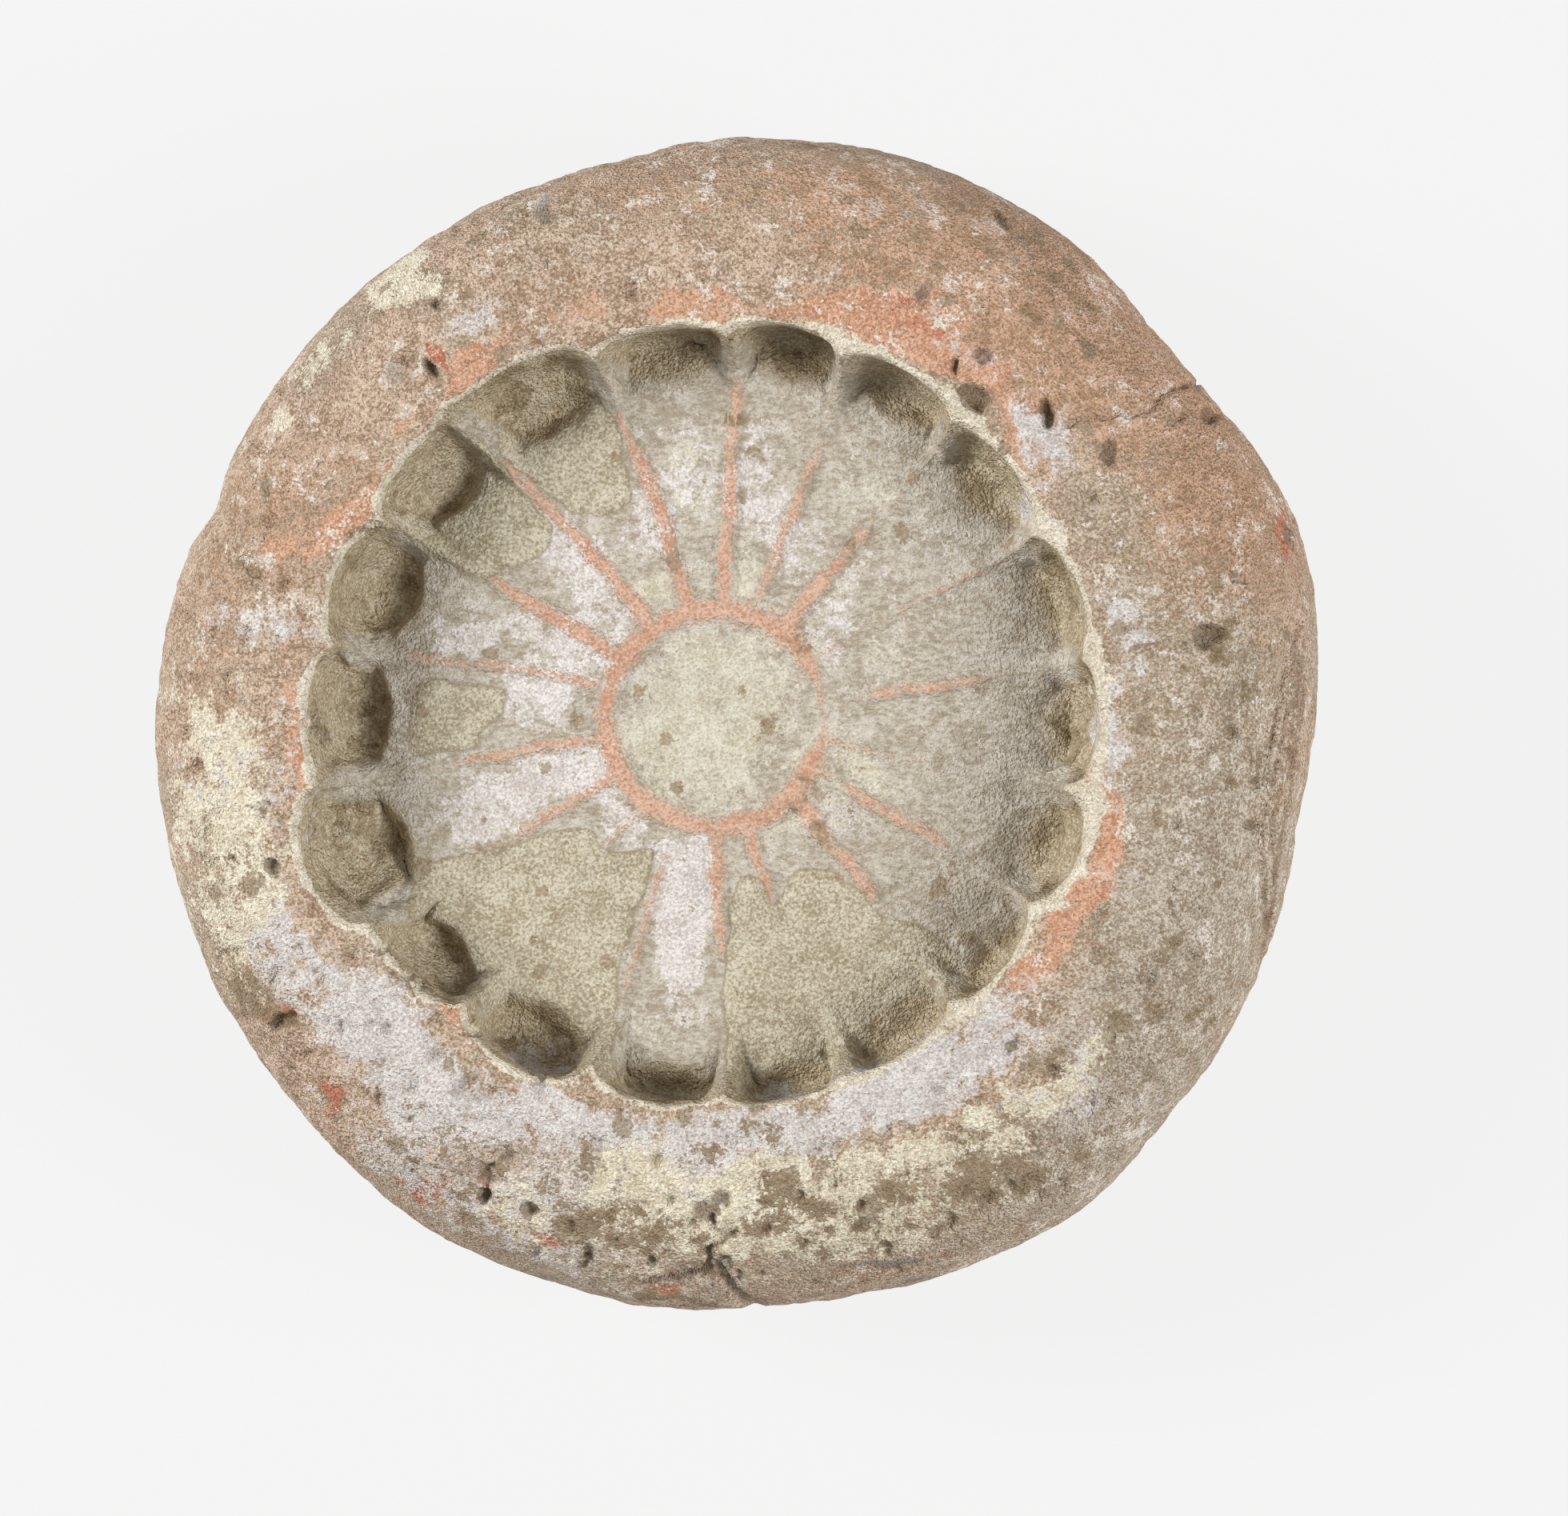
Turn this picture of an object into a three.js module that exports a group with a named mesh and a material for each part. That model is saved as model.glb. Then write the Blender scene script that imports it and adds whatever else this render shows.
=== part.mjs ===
import * as THREE from "three";
import { mergeVertices } from "three/addons/utils/BufferGeometryUtils.js";

// An open-face mould of fired clay, in millimetres, +Z up. It lies on its flat underside with the cavity up.
// The cavity is the print of an eighteen-petalled rosette, pushed into a soft round cake of clay.

// The cake.
const HEIGHT = 20.5;
const GIRTH_RADIUS = 30.2;
const GIRTH_HEIGHT = 9.5;
const BASE_RADIUS = 20.5;
const CROWN_RADIUS = 20; // inside this radius the top is level
const CROWN_ROUNDNESS = 2.6; // superellipse exponents, where 2 is a circle and more is squarer
const UNDER_ROUNDNESS = 2.2;

// Swells and flats left by the maker's hands, round the girth: angle and half width in degrees, height in mm.
const SWELLS = [
  { angle: 17, spread: 20, rise: 0.6 },
  { angle: 41, spread: 14, rise: -0.45 },
  { angle: 73, spread: 34, rise: 0.6 },
  { angle: 137, spread: 50, rise: -0.45 },
  { angle: 157, spread: 5, rise: -0.45 },
  { angle: 245, spread: 75, rise: 0.4 },
  { angle: 302, spread: 20, rise: 0.6 },
  { angle: 349, spread: 18, rise: -0.5 },
];

// The print. Its centre lies off the cake's axis.
const PRINT_CENTRE = new THREE.Vector2(-0.5, 0.35);
const PRINT_DEPTH = 5.4;
const POCKET_DEPTH = 1.5; // further down, at the petals' tips
const RELIEF = 0.35; // how far the collar and ridges stand above the petals
const DISC_RADIUS = 5.2;
const COLLAR_WIDTH = 0.9;
const PETAL_MIDDLE = 11.5;
const LIP = 0.4; // worn round on the rim
const STEP_RUN = 0.6; // how far a pocket's inner step slopes
const WALL_RUN = 0.6; // how far a pocket's outer wall slopes, from its foot to the rim
const LAND_RUN = 1.6; // the same on the lands between pockets, which are saddles that rise from the ridges

// One petal after another, anticlockwise from +X. Each has the angles in degrees of the ridge before it, at the rim
// (ridge) and at the collar (root), the rim's radius at that ridge (cusp) and at the petal's tip, and the radius
// where the tip's pocket begins. run replaces WALL_RUN.
const PETALS = [
  { ridge: 8.5, root: 7.5, cusp: 20.1, tip: 20.6, pocket: 17.5 },
  { ridge: 28.7, root: 31, cusp: 19.2, tip: 20.5, pocket: 18.0 },
  { ridge: 50, root: 52, cusp: 19.9, tip: 20.7, pocket: 18.2 },
  { ridge: 69, root: 69, cusp: 19.8, tip: 20.6, pocket: 17.7 },
  { ridge: 86.5, root: 85.5, cusp: 19.6, tip: 20.2, pocket: 17.5 },
  { ridge: 107.5, root: 103.5, cusp: 19.4, tip: 20.8, pocket: 17.3, run: 1.6 },
  { ridge: 129.5, root: 126, cusp: 20.0, tip: 20.5, pocket: 17.2, run: 0.9 },
  { ridge: 149, root: 147.5, cusp: 19.3, tip: 20.4, pocket: 16.6 },
  { ridge: 169, root: 165, cusp: 19.6, tip: 20.2, pocket: 16.9 },
  { ridge: 190, root: 189.5, cusp: 20.4, tip: 22.3, pocket: 17.0, run: 3.2 },
  { ridge: 211, root: 210, cusp: 20.8, tip: 20.4, pocket: 17.5 },
  { ridge: 230, root: 229.5, cusp: 19.1, tip: 20.7, pocket: 17.0 },
  { ridge: 252, root: 249.5, cusp: 18.8, tip: 20.1, pocket: 18.0 },
  { ridge: 273, root: 270.5, cusp: 19.4, tip: 20.2, pocket: 18.0 },
  { ridge: 291, root: 286.5, cusp: 19.9, tip: 20.2, pocket: 17.2 },
  { ridge: 311, root: 314, cusp: 19.4, tip: 20.2, pocket: 17.5 },
  { ridge: 330.5, root: 332.5, cusp: 19.6, tip: 21.2, pocket: 17.0 },
  { ridge: 349, root: 348, cusp: 20.1, tip: 20.8, pocket: 16.8 },
];

// How finely the surface is divided.
const COLUMNS_PER_PETAL = 10;
const CROWN_STEPS = [0, 0.06, 0.16, 0.3, 0.5, 0.75, 1]; // shares of the way from the girth to the lip
const UNDER_STEPS = 4;

const { degToRad, lerp, smoothstep } = THREE.MathUtils;

function wrapDegrees(angle) {
  return THREE.MathUtils.euclideanModulo(angle + 180, 360) - 180;
}

// The swells' height at an angle. Each is one smooth hump.
function swellAt(angle) {
  let rise = 0;
  for (const swell of SWELLS) {
    const away = Math.min(Math.abs(wrapDegrees(angle - swell.angle)) / swell.spread, 1);
    rise += swell.rise * 0.5 * (1 + Math.cos(Math.PI * away));
  }
  return rise;
}

// What the print does at one column of points: its angle, the rim, the pocket and the ridge there.
function printAt(column) {
  const count = PETALS.length;
  const index = Math.floor(column / COLUMNS_PER_PETAL) % count;
  const petal = PETALS[index];
  const next = PETALS[(index + 1) % count];
  const along = (column % COLUMNS_PER_PETAL) / COLUMNS_PER_PETAL;
  const atRim = petal.ridge + THREE.MathUtils.euclideanModulo(next.ridge - petal.ridge, 360) * along;
  const atCollar = petal.root + THREE.MathUtils.euclideanModulo(next.root - petal.root, 360) * along;
  const lobe = Math.sqrt(Math.sin(Math.PI * along));
  const fromRidge = Math.min(along, 1 - along);
  return {
    angle: atRim,
    twist: atCollar - atRim,
    rim: lerp(lerp(petal.cusp, next.cusp, along), petal.tip, lobe),
    run: lerp(LAND_RUN, petal.run ?? WALL_RUN, lobe),
    pocketStart: lerp(PETAL_MIDDLE + 5, petal.pocket, smoothstep(along * (1 - along), 0, 0.16)),
    pocket: smoothstep(fromRidge, 0.08, 0.24),
    ridge: 1 - smoothstep(fromRidge, 0, 0.12),
  };
}

// The height of the cake's top at a radius, from level over the crown to upright at the girth.
function crownHeight(radius, girth) {
  const share = THREE.MathUtils.clamp((radius - CROWN_RADIUS) / (girth - CROWN_RADIUS), 0, 1);
  const fall = (1 - share ** CROWN_ROUNDNESS) ** (1 / CROWN_ROUNDNESS);
  return GIRTH_HEIGHT + (HEIGHT - GIRTH_HEIGHT) * fall;
}

// One section through the mould, from the middle of the underside round the girth and over the rim to the middle of
// the cavity. Each point has a radius, a height, and off, the share of the print's offset that it takes. Those near
// the collar have a twist, in degrees, because the ridges aren't quite straight.
function sectionAt(column) {
  const print = printAt(column);
  const girth = GIRTH_RADIUS + swellAt(print.angle);
  const floor = HEIGHT - PRINT_DEPTH;
  const collar = DISC_RADIUS + COLLAR_WIDTH;
  const ridge = floor + RELIEF * print.ridge;
  const pocketFloor = floor - POCKET_DEPTH * print.pocket;
  const wallFoot = print.rim - print.run;
  const lip = print.rim + LIP;
  const points = [{ radius: 0, height: 0, off: 0 }];
  for (let step = UNDER_STEPS; step > 0; step -= 1) {
    const turn = (Math.PI / 2) * (step / UNDER_STEPS);
    const across = Math.max(Math.cos(turn), 0) ** (2 / UNDER_ROUNDNESS);
    const down = Math.sin(turn) ** (2 / UNDER_ROUNDNESS);
    points.push({ radius: lerp(BASE_RADIUS, girth, across), height: GIRTH_HEIGHT * (1 - down), off: 0 });
  }
  for (const step of CROWN_STEPS) {
    const radius = lerp(girth, lip, step);
    points.push({ radius, height: crownHeight(radius, girth), off: step });
  }
  points.push(
    { radius: print.rim, height: HEIGHT - LIP, off: 1 },
    { radius: wallFoot + print.run / 2, height: (pocketFloor + HEIGHT) / 2, off: 1 },
    { radius: wallFoot, height: pocketFloor + LIP * (1 - print.pocket), off: 1 },
    { radius: print.pocketStart + STEP_RUN, height: pocketFloor, off: 1 },
    { radius: print.pocketStart, height: ridge, off: 1 },
    { radius: PETAL_MIDDLE, height: ridge, off: 1, twist: print.twist / 2 },
    { radius: collar + RELIEF, height: ridge, off: 1, twist: print.twist },
    { radius: collar, height: floor + RELIEF, off: 1, twist: print.twist },
    { radius: DISC_RADIUS + RELIEF / 2, height: floor + RELIEF, off: 1, twist: print.twist },
    { radius: DISC_RADIUS, height: floor, off: 1, twist: print.twist },
    { radius: 0, height: floor, off: 1 },
  );
  return points;
}

// A lathe turns the first section, and each column of its points is then moved to its own section.
function mouldGeometry() {
  const columns = PETALS.length * COLUMNS_PER_PETAL;
  const outline = sectionAt(0).map((point) => new THREE.Vector2(point.radius, point.height));
  const geometry = new THREE.LatheGeometry(outline, columns);
  const places = geometry.attributes.position;
  for (let column = 0; column <= columns; column += 1) {
    const rimAngle = printAt(column % columns).angle;
    const section = sectionAt(column % columns);
    section.forEach((point, row) => {
      const angle = degToRad(rimAngle + (point.twist ?? 0));
      const x = PRINT_CENTRE.x * point.off + point.radius * Math.cos(angle);
      const y = PRINT_CENTRE.y * point.off + point.radius * Math.sin(angle);
      places.setXYZ(column * section.length + row, x, y, point.height);
    });
  }
  geometry.deleteAttribute("normal");
  geometry.deleteAttribute("uv");
  return mergeVertices(geometry);
}

// Puts the origin at the middle of the box's underside.
function stood(geometry) {
  geometry.computeBoundingBox();
  const middle = geometry.boundingBox.getCenter(new THREE.Vector3());
  geometry.translate(-middle.x, -middle.y, -geometry.boundingBox.min.z);
  geometry.computeVertexNormals();
  return geometry;
}

const firedClay = new THREE.MeshStandardMaterial({ color: 0xbfa791, roughness: 0.95, metalness: 0 });
const mould = new THREE.Mesh(stood(mouldGeometry()), firedClay);
mould.name = "clay_mould";

const part = new THREE.Group();
part.add(mould);

export default part;
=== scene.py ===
"""An ancient open-face mould of fired clay, lying with its cavity up.

It is one piece: a round cake of clay with the print of a rosette in its top. It starts as a flat sheet,
whose rows are wrapped round the mould's section and whose columns stand round its axis. The surface is then
worn, pitted, folded and crusted by moving its points, and thinned to its final mesh. Sizes are in
millimetres until they go to Blender. Places on the face are given in plan: looking down the line of sight,
which leans a little to +X, and measured from the middle of the outline.
"""

import math

import bpy
import numpy as np
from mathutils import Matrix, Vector


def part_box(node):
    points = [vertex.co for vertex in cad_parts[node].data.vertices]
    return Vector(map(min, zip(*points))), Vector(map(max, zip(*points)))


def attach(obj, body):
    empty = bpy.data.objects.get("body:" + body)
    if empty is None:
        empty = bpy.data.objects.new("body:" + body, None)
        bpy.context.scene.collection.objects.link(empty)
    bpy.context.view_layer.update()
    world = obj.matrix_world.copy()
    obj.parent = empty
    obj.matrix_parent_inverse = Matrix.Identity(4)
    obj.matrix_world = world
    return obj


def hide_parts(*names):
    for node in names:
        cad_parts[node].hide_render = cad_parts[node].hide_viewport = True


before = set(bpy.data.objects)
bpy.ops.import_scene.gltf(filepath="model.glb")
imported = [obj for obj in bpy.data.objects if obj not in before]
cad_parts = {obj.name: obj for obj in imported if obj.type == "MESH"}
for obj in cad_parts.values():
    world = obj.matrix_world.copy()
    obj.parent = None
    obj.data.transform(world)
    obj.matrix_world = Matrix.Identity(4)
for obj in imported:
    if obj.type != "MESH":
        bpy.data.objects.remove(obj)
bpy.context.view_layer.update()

MM = 0.001
NODE = "clay_mould"
BOX_LOW, BOX_HIGH = (Vector(corner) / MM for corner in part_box(NODE))

# The cake, as in the solid.
HEIGHT = BOX_HIGH.z - BOX_LOW.z
GIRTH_RADIUS = 30.2
GIRTH_HEIGHT = 9.5
BASE_RADIUS = 20.5
CROWN_RADIUS = 20.0
CROWN_ROUNDNESS = 2.6
UNDER_ROUNDNESS = 2.2

# Swells and flats round the girth: angle and half width in degrees, and rise.
SWELLS = (
    (17, 20, 0.6), (41, 14, -0.45), (73, 34, 0.6), (137, 50, -0.45),
    (157, 5, -0.45), (245, 75, 0.4), (302, 20, 0.6), (349, 18, -0.5),
)

# The print.
PRINT_CENTRE = (-0.5, 0.35)
PRINT_DEPTH = 5.4
DISC_RADIUS = 5.2
COLLAR_WIDTH = 0.9
LIP = 0.4  # how far the rim's edge is worn down

# Each petal: the ridge before it in degrees at the rim and at the collar, the rim's radius at that ridge and
# at the petal's tip, the radius where its pocket begins, how far the pocket's outer wall slopes, how far the
# land at that ridge slopes, how far the pocket's inner step slopes, and how deep the pocket is.
PETALS = (
    (8.5, 7.5, 19.9, 20.6, 16.6, 1.5, 1.9, 2.2, 0.8),
    (28.7, 31, 19.2, 20.5, 17.2, 1.2, 1.7, 1.8, 1.2),
    (50, 52, 19.9, 20.7, 18.0, 0.8, 2.0, 1.1, 1.3),
    (69, 69, 19.8, 20.6, 17.7, 0.2, 2.0, 1.9, 1.5),
    (86.5, 85.5, 19.6, 20.2, 17.5, 0.2, 1.7, 1.9, 1.5),
    (107.5, 103.5, 19.4, 20.7, 16.6, 2.2, 2.0, 1.0, 1.3),
    (129.5, 126, 21.0, 20.5, 17.0, 1.6, 3.8, 0.7, 1.5),
    (149, 147.5, 19.3, 20.6, 16.6, 1.2, 1.8, 0.4, 1.5),
    (169, 165, 19.6, 20.7, 16.9, 1.4, 1.6, 0.4, 1.5),
    (190, 189.5, 20.4, 22.3, 17.0, 3.4, 1.9, 0.6, 1.5),
    (211, 210, 20.8, 20.4, 17.5, 0.9, 2.6, 0.6, 1.5),
    (230, 229.5, 19.1, 20.7, 17.0, 0.3, 1.6, 1.3, 1.5),
    (252, 249.5, 18.8, 20.1, 18.0, 0.2, 1.8, 1.6, 1.5),
    (273, 270.5, 19.4, 20.2, 18.0, 0.2, 1.7, 1.6, 1.5),
    (291, 286.5, 19.9, 20.2, 17.2, 0.3, 1.8, 1.6, 1.3),
    (311, 314, 19.4, 20.2, 17.5, 0.5, 1.8, 1.2, 1.1),
    (330.5, 332.5, 19.3, 20.9, 16.2, 1.6, 1.8, 2.4, 0.9),
    (349, 348, 19.1, 20.6, 16.2, 1.5, 1.9, 2.3, 0.9),
)
RIDGE, ROOT, CUSP, TIP, POCKET, RUN, LAND, STEP, DEEP = np.array(PETALS, dtype=float).T

# The columns round the mould, and the rows in each stretch of its section.
COLUMNS_PER_PETAL = 60
COLUMNS = COLUMNS_PER_PETAL * len(PETALS)
BASE_ROWS = 24
UNDER_ROWS = 36
CROWN_ROWS = 84
LIP_ROWS = 3
WALL_ROWS = (14, 12, 5, 8, 12)
PETAL_ROWS = 58
COLLAR_ROWS = 8
DISC_ROWS = 24
MOST_TRIANGLES = 196_000

# The finish
SPOT_SPACING = 3.2
GRAIN_HEIGHT = 0.45

# The studio, in metres
FLOOR_WIDTH = 4
FLOOR_GAP = 0.0002  # so that the mould doesn't share a plane with its floor
LIGHT_DISTANCE = 0.9
LIGHT_WIDTH = 0.35
CAMERA_DISTANCE = 1.2

# The view, in millimetres
LEAN = math.radians(7)  # of the line of sight, towards +X
FRAME_WIDTH = 81.67  # at the mould
FRAME_OFFSET = (2.5, -1.77)  # of the frame's middle from the outline's middle

# Holes and slits: place in plan, half length, half width, turn in degrees, depth.
PITS = (
    (-15.8, 18.4, 0.75, 0.3, -45, 1.0), (16.0, 16.0, 0.95, 0.34, 100, 1.0),
    (12.3, 16.8, 0.9, 0.75, -40, 0.9), (12.8, 18.9, 0.6, 0.5, 0, 0.5), (11.2, 18.5, 0.55, 0.2, 80, 0.6),
    (9.6, 22.0, 0.6, 0.5, 0, 0.3), (19.2, 14.0, 0.8, 0.45, 70, 0.5), (24.4, 16.0, 0.5, 0.4, 0, 0.6),
    (23.1, 15.8, 0.35, 0.2, 30, 0.5), (24.4, 4.5, 0.95, 0.7, 20, 0.8), (25.8, 7.5, 0.5, 0.4, 0, 0.3),
    (18.3, 11.7, 0.3, 0.3, 0, 0.4), (13.6, 26.3, 0.75, 0.25, -60, 0.4), (-15.6, 21.8, 0.35, 0.3, 0, 0.6),
    (-24.0, -7.4, 0.4, 0.5, 60, 0.9), (-23.5, -15.4, 0.9, 0.4, 20, 0.7),
    (-13.1, -24.4, 0.45, 0.4, 0, 1.0), (-10.8, -25.2, 0.45, 0.4, 0, 0.9),
    (-12.8, -23.3, 0.7, 0.3, 60, 0.5), (25.4, -0.4, 0.4, 0.4, 0, 0.4), (26.9, -3.2, 0.45, 0.2, 90, 0.5),
    (26.6, -5.3, 0.4, 0.4, 0, 0.4), (27.6, -10.4, 0.75, 0.18, 90, 0.4), (26.2, -13.3, 0.5, 0.4, 0, 0.2),
    (-0.7, -24.6, 0.5, 0.45, 0, 0.5), (-1.4, -25.2, 0.75, 0.6, 0, 0.4), (-0.3, -26.4, 0.4, 0.35, 0, 0.5),
    (6.5, -26.0, 0.45, 0.4, 0, 0.5), (6.4, -24.9, 0.4, 0.3, 0, 0.4), (-4.5, -27.9, 0.25, 0.25, 0, 0.5),
    (-7.8, -28.1, 0.3, 0.3, 0, 0.5), (28.5, 9.8, 0.8, 0.25, 100, 0.4),
)
PIT_SHARE = 0.75  # how much of its depth a pit keeps under the soil in it

# Many smaller ones: how many, and the radii that they lie between.
SHOULDER_PITS = 420
SHOULDER_RADII = (20.5, 29.5)
FLOOR_PITS = 90
FLOOR_RADIUS = 17

# Lines in plan, each a chain of points.
CRACK = ((23.8, 17.7), (22.8, 17.4), (21.1, 16.3), (19.6, 15.9), (17.9, 15.7), (17.0, 15.4))
LOW_CRACK = ((-1.3, -27.8), (-1.6, -27.3), (-0.6, -26.8), (-1.3, -25.8))
CRACK_DEPTH = 0.35
LOW_CRACK_DEPTH = 0.3

# Ledges, where a fold of clay stands above what is beyond it. The low one crosses the bottom of the face: how
# far down it lies at each place along. Those up the right flank: how far out they lie at each place up.
LOW_LEDGE = ((-5.6, 28.9), (-3.3, 28.5), (-1.8, 28.1), (-1.3, 27.8), (-0.6, 28.6), (0.0, 29.3), (1.3, 30.2))
FLANK_LEDGES = (
    ((-11.5, 27.4), (-8.2, 27.2), (-5.3, 27.1), (-3.3, 27.5), (-1.2, 28.1), (1.9, 28.6), (6.0, 29.0)),
    ((-9.0, 27.9), (-5.5, 27.6), (-3.4, 28.0), (-0.4, 28.7), (2.8, 29.1), (5.0, 29.4)),
    ((-13.0, 26.9), (-10.0, 27.6), (-6.0, 28.1), (-3.0, 28.6), (0.0, 29.1), (3.0, 29.6)),
    ((-4.0, 27.0), (-1.0, 27.5), (2.0, 28.1), (4.5, 28.5)),
)
LOW_LEDGE_DEPTH = 0.9
FLANK_LEDGE_DEPTH = 0.6
FLANK_LEDGE_REACH = 0.45

# Crusts of dried slip on the floor of the print, each the corners of a patch in plan.
CRUSTS = (
    ((-5.6, 12.8), (-5.5, 11.6), (-6.7, 11.0), (-8.5, 10.7), (-12.3, 14.2), (-12.5, 17.0), (-8.0, 18.5),
     (-6.3, 15.7)),
    ((-9.3, 10.2), (-10.3, 8.8), (-12.0, 8.1), (-13.3, 7.3), (-17.8, 10.3), (-17.5, 14.0), (-13.8, 15.4),
     (-12.6, 13.9)),
    ((-16.8, 2.3), (-14.0, 2.0), (-12.1, 1.8), (-12.3, 0.6), (-13.2, -0.6), (-13.2, -1.3), (-16.8, -1.6)),
    ((-16.8, -7.5), (-14.0, -6.8), (-12.0, -6.2), (-10.6, -5.9), (-8.8, -5.3), (-7.7, -5.6), (-6.7, -6.4),
     (-4.4, -6.7), (-5.1, -9.6), (-5.7, -11.4), (-6.0, -12.8), (-6.5, -18.2), (-12.0, -16.0),
     (-17.0, -10.5)),
    ((0.3, -8.0), (1.6, -8.3), (1.9, -9.3), (3.3, -7.6), (5.0, -7.6), (6.3, -8.7), (7.5, -9.9),
     (9.5, -10.5),
     (11.5, -12.0), (10.0, -15.5), (5.5, -18.2), (-0.2, -18.8), (-0.7, -17.0), (-0.5, -12.5), (-0.2, -9.5)),
)
CRUST_THICKNESS = 0.13
RIDGE_RISE = 0.08  # of every ridge and the collar
BARE_RISE = 0.2  # more, where their clay still shows

# How much of each ridge still shows its clay: from and to which radius, and how strongly.
RIDGE_SHOWS = (
    (9, 14, 0.7), (12, 16, 0.5), (6, 12.5, 1.0), (7, 15, 0.72), (6, 17.5, 1.0), (6, 16.5, 1.0),
    (6, 17, 1.0), (6, 14, 1.0), (7, 16, 0.6), (6, 14, 0.68), (6, 14, 0.55), (6, 9, 0.2),
    (9, 15, 0.45), (6, 12, 0.85), (6, 9.5, 0.9), (6, 12.5, 1.0), (8.5, 14, 0.8), (6, 9, 0.3),
)
RIDGE_START, RIDGE_END, RIDGE_STRENGTH = np.array(RIDGE_SHOWS, dtype=float).T


def lerp(start, end, share):
    return start + (end - start) * share


def smoothstep(value, low, high):
    share = np.clip((value - low) / (high - low), 0, 1)
    return share * share * (3 - 2 * share)


def turn_between(start, end):
    """The angle from start to end in degrees, from -180 to 180."""
    return (end - start + 180) % 360 - 180


def noise(points, size, seed):
    """Smooth noise of about -1 to 1 in space, with lumps of this size.

    The corners of cubes have values, scattered by large odd factors, and each place blends those of its cube.
    """
    cells = points / size + 19.7 * seed
    corner = np.floor(cells).astype(np.int64)
    share = cells - corner
    share = share * share * share * (share * (share * 6 - 15) + 10)
    total = np.zeros(len(points))
    for x in (0, 1):
        for y in (0, 1):
            for z in (0, 1):
                code = (corner[:, 0] + x) * 73856093 ^ (corner[:, 1] + y) * 19349663
                code = code ^ (corner[:, 2] + z) * 83492791
                code = (code ^ (code >> 13)) * 1274126177 & 0x7FFFFFFF
                value = (code ^ (code >> 16)) % 4096 / 2047.5 - 1
                weight = np.abs(1 - x - share[:, 0]) * np.abs(1 - y - share[:, 1])
                total += weight * np.abs(1 - z - share[:, 2]) * value
    return total


def softened(grid, along_rows, round_columns):
    """Wears a grid of values: rows run from pole to pole, and columns close on themselves."""
    for _ in range(along_rows):
        grid[1:-1] = grid[:-2] / 4 + grid[1:-1] / 2 + grid[2:] / 4
    for _ in range(round_columns):
        grid[:] = np.roll(grid, 1, 1) / 4 + grid / 2 + np.roll(grid, -1, 1) / 4
    return grid


def swell_at(angle):
    """How far the girth stands out at these angles, in degrees."""
    rise = np.zeros_like(angle)
    for middle, spread, height in SWELLS:
        away = np.minimum(np.abs(turn_between(middle, angle)) / spread, 1)
        rise += height * 0.5 * (1 + np.cos(np.pi * away))
    return rise


def petal_columns():
    """For each column: its petal, the one after, and how far along from one ridge to the other it is."""
    column = np.arange(COLUMNS)
    petal = column // COLUMNS_PER_PETAL
    return petal, (petal + 1) % len(PETALS), column % COLUMNS_PER_PETAL / COLUMNS_PER_PETAL


def rim_radius(petal, after, along):
    """The rim's radius along a petal: a lobe between two cusps."""
    lobe = np.sin(np.pi * along) ** 0.5
    return lerp(lerp(CUSP[petal], CUSP[after], along), TIP[petal], lobe)


def pocket_shape(petal, along):
    """How much of a pocket there is along a petal, how domed it is there, and the radius where it begins."""
    dome = np.sin(np.pi * np.clip((along - 0.08) / 0.84, 0, 1)) ** 0.6
    return smoothstep(np.minimum(along, 1 - along), 0.06, 0.2), dome, POCKET[petal] + 1.5 * (1 - dome)


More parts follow.
